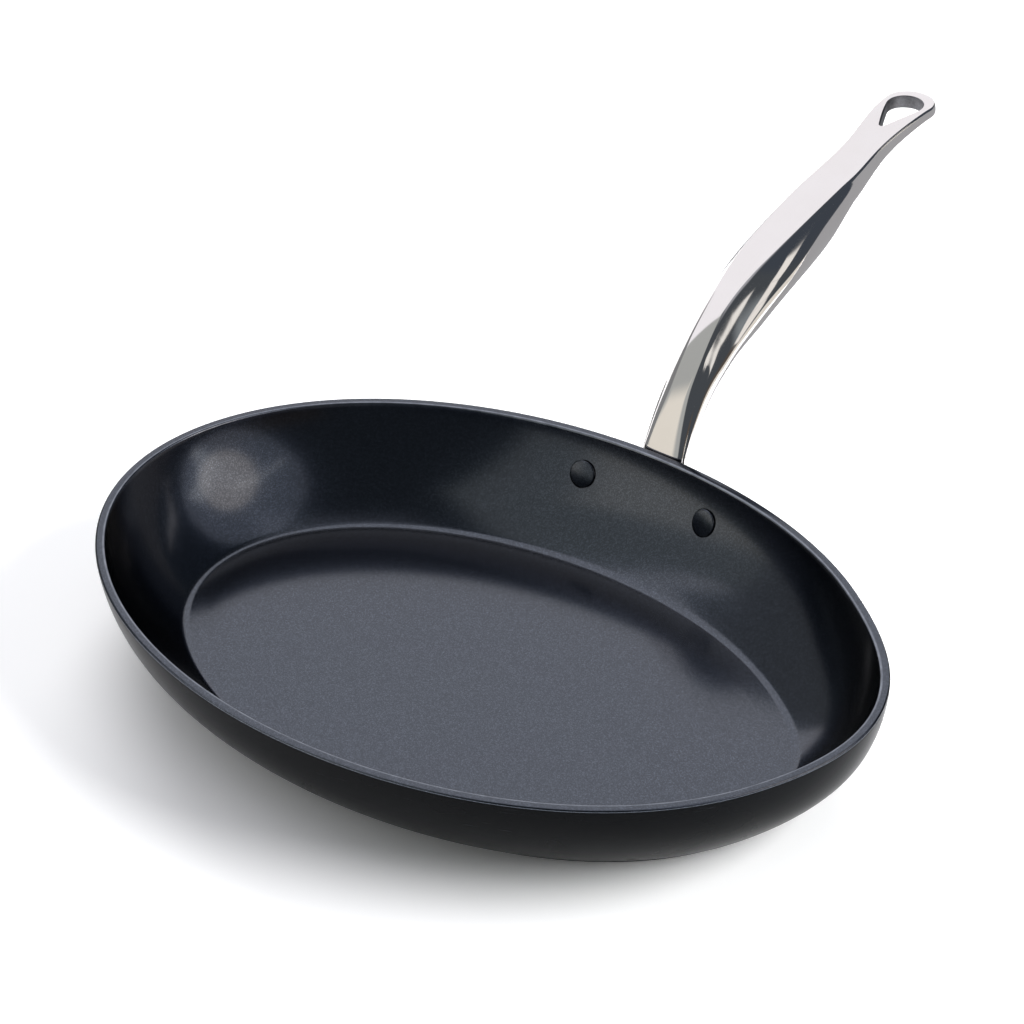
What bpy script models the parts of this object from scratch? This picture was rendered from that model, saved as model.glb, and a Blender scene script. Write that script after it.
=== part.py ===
"""Oval fish pan: a non-stick aluminium body on an induction base, with a
cast stainless handle riveted to the middle of one long side.

World frame: the pan stands on the XY plane, +Z up, +X along the long axis
towards the pouring end, +Y towards the handle. All sizes are in metres.
"""
import bisect
import math

import bmesh
import bpy
import numpy as np
from mathutils import Matrix, Vector
from mathutils.geometry import interpolate_bezier

MM = 0.001
CLEARANCE = 0.3 * MM

# Body: an oval bowl with a flat lip and a shallow pouring end
RIM_SEMI_X = 180.0 * MM
RIM_SEMI_Y = 125.0 * MM
RIM_HEIGHT = 48.8 * MM
LIP_WIDTH = 4.3 * MM
LIP_EDGE_RADIUS = 0.6 * MM
FLOOR_HEIGHT = 4.0 * MM
FLOOR_INSET = 37.2 * MM
FILLET_RADIUS = 8.0 * MM
FILLET_TURN = math.radians(38.0)
FOOT_INSET = 29.6 * MM
FOOT_HEIGHT = 1.5 * MM
FOOT_CHAMFER = 0.4 * MM
WALL_TOP_ANGLE = math.radians(84.5)
WALL_TOP_REACH = 20.7 * MM
WALL_FOOT_ANGLE = math.radians(33.0)
WALL_FOOT_REACH = 20.7 * MM

# Pouring end: how far the wall is drawn out past the plain ellipse
POUR_REACH = 4.6 * MM
POUR_CENTRE = math.radians(13.0)
POUR_SPREAD = math.radians(33.0)
POUR_FADE_HEIGHT = 0.55 * RIM_HEIGHT

# Induction plate pressed into the underside
PLATE_INSET = 33.0 * MM
PLATE_THICKNESS = 0.8 * MM
PLATE_CHAMFER = 0.25 * MM
UNDERSIDE_HEIGHT = 0.3 * MM

# Rivets: the drop is from the rim to where they pass the inner wall
RIVET_SPACING = 64.8 * MM
RIVET_DROP = 16.3 * MM
RIVET_TILT = math.radians(18.0)
SHANK_RADIUS = 3.0 * MM
HEAD_RADIUS = 6.0 * MM
INNER_HEAD_RISE = 0.9 * MM
OUTER_HEAD_RISE = 2.2 * MM
HEAD_EDGE_RADIUS = 0.6 * MM
SEAT_SINK = 0.7 * MM
CUT_OVERSHOOT = 3.0 * MM

# Handle bracket: a curved plate that follows the wall under the rim
PAD_END = 11.6 * MM
PAD_HALF_HEIGHT = 12.5 * MM
PAD_DROP = 19.3 * MM
PAD_THICKNESS = 3.0 * MM
PAD_SQUARENESS = 2.6
PAD_EDGE_RADIUS = 0.9 * MM

# Handle neck: the strap from the bracket up to its bend at the rim
NECK_GAP = 0.5 * MM
NECK_START_DROP = 28.8 * MM
NECK_BEND_DROP = 3.3 * MM
NECK_BEND_REACH = 1.5 * MM
NECK_FLARE = 7.0 * MM
NECK_START_DEPTH = 2.2 * MM
NECK_RIB_DEPTH = 2.0 * MM

# Handle line: the middle of its top face, as Bezier knots. Each knot has
# its share of the way from the rim to the loop's centre, and mm above the rim
HANDLE_REACH = 188.2 * MM
SPINE = (
    ((0.007, 1.0), (0.028, 8.1), (0.109, 51.6), (0.363, 65.5)),
    ((0.363, 65.5), (0.473, 71.5), (0.643, 77.0), (0.680, 77.7)),
    ((0.680, 77.7), (0.791, 79.8), (0.881, 88.7), (1.0, 87.9)),
)

# Handle sections: the same share, then mm for the half-width of the top
# face, the widest half-width and the depth, then the flank's fall in degrees
SECTIONS = (
    (0.0, 9.0, 9.5, 3.4, 60.0),
    (0.032, 8.1, 9.7, 5.1, 58.0),
    (0.080, 6.5, 10.5, 9.3, 50.0),
    (0.143, 5.3, 12.7, 15.2, 47.0),
    (0.250, 5.3, 14.2, 22.2, 47.0),
    (0.399, 7.6, 15.3, 21.9, 48.0),
    (0.558, 8.7, 13.6, 20.5, 52.0),
    (0.696, 8.9, 11.1, 13.0, 70.0),
    (0.813, 8.5, 9.3, 9.2, 80.0),
    (0.940, 11.0, 11.6, 6.9, 80.0),
    (1.0, 11.6, 12.1, 6.5, 78.0),
)

# Section shape, as shares of its own width and depth
FLANK_REACH = 0.4
SIDE_REACH = 0.25
WIDEST_DEPTH = 0.6
TOP_CROWN = 0.04
UNDERSIDE_DROP = 0.7
UNDERSIDE_FULLNESS = 0.75

# Teardrop hanging hole: its round end sits just before the loop's centre
HOLE_SETBACK = 3.6 * MM
HOLE_RADIUS = 8.2 * MM
HOLE_LENGTH = 19.0 * MM
HOLE_POINT_RADIUS = 1.2 * MM
HOLE_CHAMFER = 0.5 * MM

# Facets round each kind of ring, and the angle from which an edge is sharp
OVAL_SEGMENTS = 84
RIVET_SEGMENTS = 28
PAD_SEGMENTS = 56
SHARP_ANGLE = math.radians(35.0)

PAD_HALF_LENGTH = 0.5 * RIVET_SPACING + PAD_END
NECK_START_HEIGHT = RIM_HEIGHT - NECK_START_DROP
NECK_BEND_HEIGHT = RIM_HEIGHT - NECK_BEND_DROP
LOOP_CENTRE_Y = RIM_SEMI_Y + HANDLE_REACH
HOLE_CENTRE_Y = LOOP_CENTRE_Y - HOLE_SETBACK
HALF_TURN = math.pi
QUARTER_TURN = 0.5 * math.pi
TURN = 2.0 * math.pi


def add_material(name, colour, roughness, metallic):
    """Return a Principled BSDF material with plain values."""
    material = bpy.data.materials.new(name)
    material.use_nodes = True
    shader = material.node_tree.nodes["Principled BSDF"]
    shader.inputs["Base Color"].default_value = (*colour, 1.0)
    shader.inputs["Roughness"].default_value = roughness
    shader.inputs["Metallic"].default_value = metallic
    material.diffuse_color = (*colour, 1.0)
    return material


def add_object(name, bm):
    """Turn a bmesh into a named object."""
    bmesh.ops.recalc_face_normals(bm, faces=bm.faces)
    mesh = bpy.data.meshes.new(name)
    bm.to_mesh(mesh)
    bm.free()
    obj = bpy.data.objects.new(name, mesh)
    bpy.context.scene.collection.objects.link(obj)
    return obj


def finish(obj, material):
    """Give an object its material and smooth shading with sharp corners."""
    obj.data.materials.clear()
    obj.data.materials.append(material)
    obj.data.shade_smooth()
    obj.data.set_sharp_from_angle(angle=SHARP_ANGLE)


def add_tube(bm, rings):
    """Join rings of points with quads and close both ends."""
    loops = [[bm.verts.new(point) for point in ring] for ring in rings]
    count = len(loops[0])
    for lower, upper in zip(loops, loops[1:]):
        for i in range(count):
            j = (i + 1) % count
            bm.faces.new((lower[i], lower[j], upper[j], upper[i]))
    bm.faces.new(loops[0])
    bm.faces.new(loops[-1])


def arc(centre, radius, start, end, steps):
    """Points on a circular arc, both ends included."""
    points = []
    for i in range(steps + 1):
        angle = start + (end - start) * i / steps
        points.append((centre[0] + radius * math.cos(angle), centre[1] + radius * math.sin(angle)))
    return points


def combine(obj, other, operation):
    """Join another object to this one, or cut it out, and drop the other."""
    step = obj.modifiers.new(name=operation.lower(), type="BOOLEAN")
    step.operation = operation
    step.solver = "EXACT"
    step.object = other
    graph = bpy.context.evaluated_depsgraph_get()
    mesh = bpy.data.meshes.new_from_object(obj.evaluated_get(graph))
    obj.modifiers.clear()
    obj.data = mesh
    bpy.data.objects.remove(other, do_unlink=True)


def pour_bulge(angle, height):
    """Outward reach of the pouring end at one place on the oval."""
    away = (angle - POUR_CENTRE + HALF_TURN) % TURN - HALF_TURN
    if abs(away) >= POUR_SPREAD or height <= 0.0:
        return 0.0
    fade = math.sin(QUARTER_TURN * min(1.0, height / POUR_FADE_HEIGHT))
    return POUR_REACH * fade * math.cos(QUARTER_TURN * away / POUR_SPREAD) ** 2


def oval_point(angle, inset, height):
    """Point on the body's oval, a given distance inside the rim line."""
    semi_x = RIM_SEMI_X - inset
    semi_y = RIM_SEMI_Y - inset
    outward = Vector((math.cos(angle) / semi_x, math.sin(angle) / semi_y)).normalized()
    bulge = pour_bulge(angle, height)
    x = semi_x * math.cos(angle) + bulge * outward.x
    y = semi_y * math.sin(angle) + bulge * outward.y
    return Vector((x, y, height))


def oval_ring(inset, height):
    """Closed ring of points on the body's oval."""
    return [oval_point(TURN * i / OVAL_SEGMENTS, inset, height) for i in range(OVAL_SEGMENTS)]


def oval_y(x, inset):
    """Y of the oval on the handle side at a given X."""
    return (RIM_SEMI_Y - inset) * math.sin(math.acos(x / (RIM_SEMI_X - inset)))


def outer_wall_profile(steps):
    """Outer wall as (inset, height) pairs, from the rim down to the foot."""
    top = Vector((0.0, RIM_HEIGHT - LIP_EDGE_RADIUS))
    foot = Vector((FOOT_INSET, FOOT_HEIGHT))
    top_handle = top + WALL_TOP_REACH * Vector((math.cos(WALL_TOP_ANGLE), -math.sin(WALL_TOP_ANGLE)))
    foot_handle = foot + WALL_FOOT_REACH * Vector((-math.cos(WALL_FOOT_ANGLE), math.sin(WALL_FOOT_ANGLE)))
    return [tuple(point) for point in interpolate_bezier(top, top_handle, foot_handle, foot, steps)]


def inner_wall_profile(wall_steps, fillet_steps):
    """Floor fillet and wall arc as (inset, height) pairs, upwards."""
    fillet_centre = (FLOOR_INSET, FLOOR_HEIGHT + FILLET_RADIUS)
    fillet = arc(fillet_centre, FILLET_RADIUS, -QUARTER_TURN, -QUARTER_TURN - FILLET_TURN, fillet_steps)
    start = fillet[-1]
    rise = RIM_HEIGHT - LIP_EDGE_RADIUS - start[1]
    run = start[0] - LIP_WIDTH
    top_angle = 2.0 * math.atan2(rise, run) - FILLET_TURN
    radius = 0.5 * math.hypot(rise, run) / math.sin(0.5 * (top_angle - FILLET_TURN))
    wall_centre = (
        start[0] + radius * math.sin(FILLET_TURN),
        start[1] + radius * math.cos(FILLET_TURN),
    )
    wall = arc(wall_centre, radius, -QUARTER_TURN - FILLET_TURN, -QUARTER_TURN - top_angle, wall_steps)
    return fillet + wall[1:]


def inset_at(profile, height):
    """Inset of a wall at a height, read off its profile."""
    levels, insets = zip(*sorted((level, inset) for inset, level in profile))
    return float(np.interp(height, levels, insets))


def wall_y(x, height):
    """Y of the outer wall on the handle side at a given X and height."""
    return oval_y(x, inset_at(outer_wall_profile(40), height))


def pad_face_y(point):
    """Y of the bracket's outer face behind a point."""
    return wall_y(point.x, point.z) + CLEARANCE + PAD_THICKNESS


def rivet_frame(side):
    """Matrix whose Z axis runs out along a rivet, origin on the inner wall."""
    height = RIM_HEIGHT - RIVET_DROP
    inset = inset_at(inner_wall_profile(40, 1), height)
    x = side * 0.5 * RIVET_SPACING
    y = oval_y(x, inset)
    outward = Vector((x / (RIM_SEMI_X - inset) ** 2, y / (RIM_SEMI_Y - inset) ** 2, 0.0)).normalized()
    axis = outward * math.cos(RIVET_TILT) - Vector((0.0, 0.0, math.sin(RIVET_TILT)))
    turn = axis.to_track_quat("Z", "Y").to_matrix().to_4x4()
    return Matrix.Translation((x, y, height)) @ turn


def stack_length():
    """Distance along a rivet from the inner wall to the bracket's face."""
    frame = rivet_frame(1.0)
    step = frame.to_3x3() @ Vector((0.0, 0.0, 0.05 * MM))
    point = frame.translation.copy()
    while point.y < pad_face_y(point):
        point += step
    return (point - frame.translation).length


def turned_rings(profile, frame):
    """Rings of a turned shape from (radius, distance) pairs."""
    rings = []
    for radius, distance in profile:
        ring = []
        for i in range(RIVET_SEGMENTS):
            angle = TURN * i / RIVET_SEGMENTS
            ring.append(frame @ Vector((radius * math.cos(angle), radius * math.sin(angle), distance)))
        rings.append(ring)
    return rings


def build_rivet_cutter(profile):
    """Stepped pins for both rivets, to cut their holes and seats."""
    bm = bmesh.new()
    for side in (-1.0, 1.0):
        add_tube(bm, turned_rings(profile, rivet_frame(side)))
    return add_object("rivet_cutter", bm)


def build_body(material):
    """Bowl with floor, wall, lip, foot and the recess for the plate."""
    lip_inner = (LIP_WIDTH - LIP_EDGE_RADIUS, RIM_HEIGHT - LIP_EDGE_RADIUS)
    lip_outer = (LIP_EDGE_RADIUS, RIM_HEIGHT - LIP_EDGE_RADIUS)
    recess_inset = PLATE_INSET - CLEARANCE
    profile = inner_wall_profile(13, 4)
    profile += arc(lip_inner, LIP_EDGE_RADIUS, 0.0, QUARTER_TURN, 3)[1:]
    profile += arc(lip_outer, LIP_EDGE_RADIUS, QUARTER_TURN, HALF_TURN, 3)
    profile += outer_wall_profile(14)[1:]
    profile += [
        (FOOT_INSET, UNDERSIDE_HEIGHT + FOOT_CHAMFER),
        (FOOT_INSET + FOOT_CHAMFER, UNDERSIDE_HEIGHT),
        (recess_inset, UNDERSIDE_HEIGHT),
        (recess_inset, PLATE_THICKNESS + CLEARANCE),
    ]
    bm = bmesh.new()
    add_tube(bm, [oval_ring(inset, height) for inset, height in profile])
    body = add_object("pan_body", bm)
    seat_and_hole = (
        (HEAD_RADIUS + CLEARANCE, -CUT_OVERSHOOT),
        (HEAD_RADIUS + CLEARANCE, SEAT_SINK),
        (SHANK_RADIUS + CLEARANCE, SEAT_SINK),
        (SHANK_RADIUS + CLEARANCE, stack_length()),
    )
    combine(body, build_rivet_cutter(seat_and_hole), "DIFFERENCE")
    finish(body, material)


def build_plate(material):
    """Oval steel plate that sits in the recess under the floor."""
    rings = [
        oval_ring(PLATE_INSET + PLATE_CHAMFER, 0.0),
        oval_ring(PLATE_INSET, PLATE_CHAMFER),
        oval_ring(PLATE_INSET, PLATE_THICKNESS - PLATE_CHAMFER),
        oval_ring(PLATE_INSET + PLATE_CHAMFER, PLATE_THICKNESS),
    ]
    bm = bmesh.new()
    add_tube(bm, rings)
    finish(add_object("induction_base", bm), material)


def spine_point(share, rise):
    """Place on the handle line in the YZ plane."""
    return Vector((RIM_SEMI_Y + share * HANDLE_REACH, RIM_HEIGHT + rise * MM))


def spine_points():
    """Handle line in the YZ plane, from the bracket to the loop's centre."""
    neck_steps = 5
    bend_steps = 4
    curve_steps = 15
    points = []
    for i in range(neck_steps + 1):
        height = NECK_START_HEIGHT + (NECK_BEND_HEIGHT - NECK_START_HEIGHT) * i / neck_steps
        points.append(Vector((wall_y(0.0, height) + NECK_GAP, height)))
    start = points.pop()
    leave = NECK_BEND_REACH * (start - points[-1]).normalized()
    end = spine_point(*SPINE[0][0])
    arrive = NECK_BEND_REACH * (spine_point(*SPINE[0][1]) - end).normalized()
    curves = [interpolate_bezier(start, start + leave, end - arrive, end, bend_steps)]
    for piece in SPINE:
        curves.append(interpolate_bezier(*[spine_point(*knot) for knot in piece], curve_steps))
    for curve in curves:
        points += [point.to_2d() for point in curve[:-1]]
    points.append(curves[-1][-1].to_2d())
    return points


def hermite(before, start, end, after, share):
    """Value between two stations of a smooth curve; each is (place, value)."""
    span = end[0] - start[0]
    slope_in = (end[1] - before[1]) / (end[0] - before[0]) * span
    slope_out = (after[1] - start[1]) / (after[0] - start[0]) * span
    leave = start[1] + slope_in / 3.0
    arrive = end[1] - slope_out / 3.0
    rest = 1.0 - share
    middle = 3.0 * rest * share * (rest * leave + share * arrive)
    return rest ** 3 * start[1] + middle + share ** 3 * end[1]


def section_at(point):
    """Top and widest half-width, depth and flank's fall of the handle on its line."""
    place = min(max((point.x - RIM_SEMI_Y) / HANDLE_REACH, 0.0), 1.0)
    last = len(SECTIONS) - 1
    k = min(bisect.bisect([section[0] for section in SECTIONS], place), last)
    stations = [SECTIONS[min(max(n, 0), last)] for n in (k - 2, k - 1, k, k + 1)]
    share = (place - stations[1][0]) / (stations[2][0] - stations[1][0])
    sizes = []
    for i, unit in ((1, MM), (2, MM), (3, MM), (4, math.radians(1.0))):
        sizes.append(unit * hermite(*[(station[0], station[i]) for station in stations], share))
    below = (NECK_BEND_HEIGHT - point.y) / (NECK_BEND_HEIGHT - NECK_START_HEIGHT)
    if below > 0.0:
        sizes[0] += NECK_FLARE * below * below
        sizes[1] += NECK_FLARE * below * below
        sizes[2] += (NECK_START_DEPTH - sizes[2]) * below + NECK_RIB_DEPTH * math.sin(HALF_TURN * below)
    return sizes


def half_section(face, widest, depth, fall):
    """Right half of a section as (X, depth) points, top centre to bottom."""
    crown = TOP_CROWN * face
    level = WIDEST_DEPTH * depth
    crease = Vector((face, crown))
    side = Vector((widest, level))
    bottom = Vector((0.0, depth))
    top = [Vector((face * share, crown * share * share)) for share in (0.0, 0.4, 0.75, 0.95)]
    span = (side - crease).length
    leave = FLANK_REACH * span * Vector((math.cos(fall), math.sin(fall)))
    arrive = Vector((0.0, SIDE_REACH * span))
    flank = interpolate_bezier(crease, crease + leave, side - arrive, side, 6)
    drop = Vector((0.0, UNDERSIDE_DROP * (depth - level)))
    fullness = Vector((UNDERSIDE_FULLNESS * widest, 0.0))
    under = interpolate_bezier(side, side + drop, bottom + fullness, bottom, 7)
    return [point.to_2d() for point in top + flank + under[1:]]


def handle_ring(point, tangent, sizes, squeeze=1.0):
    """Closed section ring placed on the handle line."""
    normal = Vector((0.0, -tangent.y, tangent.x))
    half = half_section(sizes[0] * squeeze, sizes[1] * squeeze, *sizes[2:])
    centre = Vector((0.0, point.x, point.y))
    right = [centre + Vector((p.x, 0.0, 0.0)) - normal * p.y for p in half]
    left = [centre - Vector((p.x, 0.0, 0.0)) - normal * p.y for p in half[1:-1]]
    return right + left[::-1]


def build_grip():
    """Neck and grip swept along the handle line, then the loop's round end."""
    loop_steps = 9
    points = spine_points()
    rings = []
    for i, point in enumerate(points[:-1]):
        tangent = (points[i + 1] - points[max(i - 1, 0)]).normalized()
        rings.append(handle_ring(point, tangent, section_at(point)))
    centre = points[-1]
    tangent = (centre - points[-2]).normalized()
    sizes = section_at(centre)
    for i in range(loop_steps):
        angle = QUARTER_TURN * i / loop_steps
        place = centre + tangent * (sizes[0] * math.sin(angle))
        rings.append(handle_ring(place, tangent, sizes, math.cos(angle)))
    bm = bmesh.new()
    add_tube(bm, rings)
    return add_object("handle", bm)


def pad_ring(scale, inset, lift):
    """Ring on the bracket plate, scaled and inset, lifted off its back."""
    power = 2.0 / PAD_SQUARENESS
    points = []
    for i in range(PAD_SEGMENTS):
        angle = TURN * i / PAD_SEGMENTS
        across = math.copysign(abs(math.cos(angle)) ** power, math.cos(angle))
        upward = math.copysign(abs(math.sin(angle)) ** power, math.sin(angle))
        x = across * (scale * PAD_HALF_LENGTH - inset)
        height = RIM_HEIGHT - PAD_DROP + upward * (scale * PAD_HALF_HEIGHT - inset)
        points.append(Vector((x, wall_y(x, height) + CLEARANCE + lift, height)))
    return points


def build_pad():
    """Bracket plate bent to the wall, riveted below the rim."""
    face_scales = (0.1, 0.4, 0.7)
    rings = [pad_ring(scale, 0.0, 0.0) for scale in face_scales]
    rings.append(pad_ring(1.0, 0.0, 0.0))
    edge_centre = (PAD_EDGE_RADIUS, PAD_THICKNESS - PAD_EDGE_RADIUS)
    rounding = arc(edge_centre, PAD_EDGE_RADIUS, HALF_TURN, QUARTER_TURN, 2)
    rings += [pad_ring(1.0, inset, lift) for inset, lift in rounding]
    rings += [pad_ring(scale, 0.0, PAD_THICKNESS) for scale in reversed(face_scales)]
    bm = bmesh.new()
    add_tube(bm, rings)
    return add_object("pad", bm)


def hole_outline(grow):
    """Teardrop outline in (X, Y): a round end and a small pointed end."""
    round_end = (0.0, HOLE_CENTRE_Y)
    point_end = (0.0, HOLE_CENTRE_Y - HOLE_LENGTH + HOLE_POINT_RADIUS)
    lean = math.asin((HOLE_RADIUS - HOLE_POINT_RADIUS) / (round_end[1] - point_end[1]))
    points = arc(round_end, HOLE_RADIUS + grow, -lean, HALF_TURN + lean, 26)
    points += arc(point_end, HOLE_POINT_RADIUS + grow, HALF_TURN + lean, TURN - lean, 8)
    return points


def build_hole_cutter():
    """Teardrop prism through the loop, flared where it meets both faces."""
    depth = MM * SECTIONS[-1][3]
    flare = HOLE_CHAMFER + CUT_OVERSHOOT
    levels = (
        (flare, CUT_OVERSHOOT),
        (0.0, -HOLE_CHAMFER),
        (0.0, HOLE_CHAMFER - depth),
        (flare, -depth - CUT_OVERSHOOT),
    )
    line = [point for point in spine_points() if point.x > RIM_SEMI_Y]
    line.append(line[-1] + (line[-1] - line[-2]).normalized() * 2.0 * HOLE_RADIUS)
    places = [point.x for point in line]
    heights = [point.y for point in line]
    rings = []
    for grow, lift in levels:
        outline = hole_outline(grow)
        rings.append([Vector((x, y, np.interp(y, places, heights) + lift)) for x, y in outline])
    bm = bmesh.new()
    add_tube(bm, rings)
    return add_object("hole_cutter", bm)


def build_handle(material):
    """Bracket and grip joined into one casting, then cut."""
    handle = build_grip()
    combine(handle, build_pad(), "UNION")
    combine(handle, build_hole_cutter(), "DIFFERENCE")
    face = stack_length()
    hole_and_seat = (
        (SHANK_RADIUS + CLEARANCE, 0.0),
        (SHANK_RADIUS + CLEARANCE, face - SEAT_SINK),
        (HEAD_RADIUS + CLEARANCE, face - SEAT_SINK),
        (HEAD_RADIUS + CLEARANCE, face + CUT_OVERSHOOT),
    )
    combine(handle, build_rivet_cutter(hole_and_seat), "DIFFERENCE")
    finish(handle, material)


def build_rivet(name, side, material):
    """Flat inner head, shank and domed outer head in one turned piece."""
    inner = SEAT_SINK - CLEARANCE
    outer = stack_length() - SEAT_SINK + CLEARANCE
    dome_steps = 5
    head_edge = (HEAD_RADIUS - HEAD_EDGE_RADIUS, HEAD_EDGE_RADIUS - INNER_HEAD_RISE)
    profile = arc(head_edge, HEAD_EDGE_RADIUS, -QUARTER_TURN, 0.0, 3)
    profile += [
        (HEAD_RADIUS, inner),
        (SHANK_RADIUS, inner),
        (SHANK_RADIUS, outer),
        (HEAD_RADIUS, outer),
    ]
    for radius, rise in arc((0.0, 0.0), HEAD_RADIUS, 0.0, QUARTER_TURN, dome_steps)[1:-1]:
        profile.append((radius, outer + OUTER_HEAD_RISE * rise / HEAD_RADIUS))
    bm = bmesh.new()
    add_tube(bm, turned_rings(profile, rivet_frame(side)))
    finish(add_object(name, bm), material)


def main():
    for obj in list(bpy.data.objects):
        bpy.data.objects.remove(obj, do_unlink=True)
    coating = add_material("non_stick_coating", (0.05, 0.055, 0.065), 0.35, 0.0)
    steel = add_material("polished_cast_steel", (0.75, 0.74, 0.73), 0.08, 1.0)
    plate = add_material("brushed_base_steel", (0.55, 0.55, 0.56), 0.3, 1.0)
    rivet = add_material("coated_rivet", (0.06, 0.065, 0.075), 0.35, 0.0)
    build_body(coating)
    build_plate(plate)
    build_handle(steel)
    build_rivet("rivet_left", -1.0, rivet)
    build_rivet("rivet_right", 1.0, rivet)


main()
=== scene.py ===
"""Oval fish pan with its finished surfaces, on a white studio floor.

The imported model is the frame: metres, +Z up, +X along the oval's long axis
towards the pouring end, +Y towards the handle, the table at Z = 0.
"""
import bisect
import math

import bmesh
import bpy
import numpy as np
from bpy.props import FloatProperty, FloatVectorProperty, PointerProperty
from bpy.types import Operator, Panel, PropertyGroup
from mathutils import Matrix, Vector
from mathutils.geometry import interpolate_bezier


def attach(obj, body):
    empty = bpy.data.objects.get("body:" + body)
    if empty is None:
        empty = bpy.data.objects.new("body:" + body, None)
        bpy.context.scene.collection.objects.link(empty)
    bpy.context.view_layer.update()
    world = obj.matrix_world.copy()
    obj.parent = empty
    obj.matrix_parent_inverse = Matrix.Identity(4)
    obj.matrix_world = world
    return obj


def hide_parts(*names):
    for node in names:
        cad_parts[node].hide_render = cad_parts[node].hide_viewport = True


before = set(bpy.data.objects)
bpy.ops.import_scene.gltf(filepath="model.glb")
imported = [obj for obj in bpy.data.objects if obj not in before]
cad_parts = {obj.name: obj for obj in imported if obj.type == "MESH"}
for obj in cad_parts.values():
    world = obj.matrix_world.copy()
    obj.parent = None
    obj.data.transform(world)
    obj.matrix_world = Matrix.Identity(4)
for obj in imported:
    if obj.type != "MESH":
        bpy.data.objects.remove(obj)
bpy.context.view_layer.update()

bl_info = {
    "name": "Oval fish pan",
    "version": (1, 0, 0),
    "blender": (4, 5, 0),
    "location": "3D View > Sidebar > Fish pan",
    "description": "Builds the finished surfaces of an oval fish pan and its studio",
    "category": "Object",
}

MM = 0.001
HALF_TURN = math.pi
QUARTER_TURN = 0.5 * math.pi
TURN = 2.0 * math.pi
CLEARANCE = 0.3 * MM
WELD_DISTANCE = 0.001 * MM

# Bowl: the lip's edge, the curves of its wall, and the foot
LIP_EDGE_RADIUS = 0.9 * MM
# Width on the flat lip over which the painted highlight on its inner edge fades out
HIGHLIGHT_FADE_WIDTH = 0.5 * MM
FILLET_RADIUS = 6.5 * MM
FILLET_TURN = math.radians(38.0)
FLOOR_DOME = 2.6 * MM
FOOT_INSET = 29.6 * MM
FOOT_HEIGHT = 1.5 * MM
FOOT_CHAMFER = 0.4 * MM
WALL_TOP_ANGLE = math.radians(84.5)
WALL_TOP_REACH = 20.7 * MM
WALL_FOOT_ANGLE = math.radians(33.0)
WALL_FOOT_REACH = 20.7 * MM
POUR_CENTRE = math.radians(13.0)
POUR_SPREAD = math.radians(33.0)
POUR_FADE = 0.55

# Induction plate in its recess
PLATE_INSET = 33.0 * MM
PLATE_THICKNESS = 0.8 * MM
PLATE_CHAMFER = 0.25 * MM
UNDERSIDE_HEIGHT = 0.3 * MM

# Rivets
RIVET_TILT = math.radians(21.5)
SHANK_RADIUS = 3.0 * MM
BORE_RADIUS = SHANK_RADIUS + CLEARANCE
INNER_HEAD_RISE = 0.9 * MM
OUTER_HEAD_RISE = 2.2 * MM
HEAD_EDGE_RADIUS = 0.6 * MM
SEAT_SINK = 0.7 * MM
CUT_OVERSHOOT = 3.0 * MM
STACK_STEP = 0.05 * MM

# Bracket under the rim
PAD_END = 11.6 * MM
PAD_HALF_HEIGHT = 12.5 * MM
PAD_DROP = 19.3 * MM
PAD_THICKNESS = 3.0 * MM
PAD_SQUARENESS = 2.6
PAD_EDGE_RADIUS = 0.9 * MM
PAD_SCALES = (0.1, 0.4, 0.7)

# Neck between bracket and grip
NECK_GAP = 0.5 * MM
NECK_START_DROP = 28.8 * MM
NECK_BEND_DROP = 3.3 * MM
NECK_BEND_REACH = 1.5 * MM
NECK_FLARE = 7.0 * MM
NECK_START_DEPTH = 2.2 * MM
NECK_RIB_DEPTH = 2.0 * MM

# Line along the middle of the handle's top face, as Bezier knots: share of
# the way from the rim to the loop's centre, and mm above the rim
SPINE = (
    ((0.007, 1.0), (0.028, 8.1), (0.109, 51.6), (0.363, 65.5)),
    ((0.363, 65.5), (0.473, 71.5), (0.643, 77.0), (0.680, 77.7)),
    ((0.680, 77.7), (0.791, 79.8), (0.881, 88.7), (1.0, 87.9)),
)

# Handle sections: the same share, then mm for the half-width of the top
# face, the widest half-width and the depth, then the flank's fall in degrees
SECTIONS = (
    (0.0, 10.3, 11.3, 6.4, 84.0),
    (0.032, 8.9, 11.2, 8.8, 72.0),
    (0.080, 6.6, 11.4, 12.2, 50.0),
    (0.143, 5.3, 12.8, 15.8, 43.0),
    (0.250, 5.3, 14.2, 22.2, 44.5),
    (0.399, 7.6, 15.3, 21.9, 47.0),
    (0.558, 8.7, 13.6, 20.5, 52.0),
    (0.696, 8.9, 11.1, 13.0, 70.0),
    (0.813, 8.5, 9.3, 9.2, 80.0),
    (0.940, 11.0, 11.6, 6.9, 80.0),
    (1.0, 11.6, 12.1, 6.5, 78.0),
)
NECK_SOFTNESS = 4.2 * MM
NECK_SOFT_SHARE = 0.15
NECK_UPRIGHT = 0.45
FLANK_REACH = 0.4
FLANK_SOFT_SHARE = 0.8
TOP_SOFT_SHARE = 0.6
SIDE_REACH = 0.25
WIDEST_DEPTH = 0.6
TOP_CROWN = 0.04
UNDERSIDE_DROP = 0.7
UNDERSIDE_FULLNESS = 0.75
LOOP_ROUNDING = 0.99

# Teardrop hanging hole
HOLE_SETBACK = 3.6 * MM
HOLE_POINT_RADIUS = 1.2 * MM
HOLE_CHAMFER = 0.5 * MM

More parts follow.
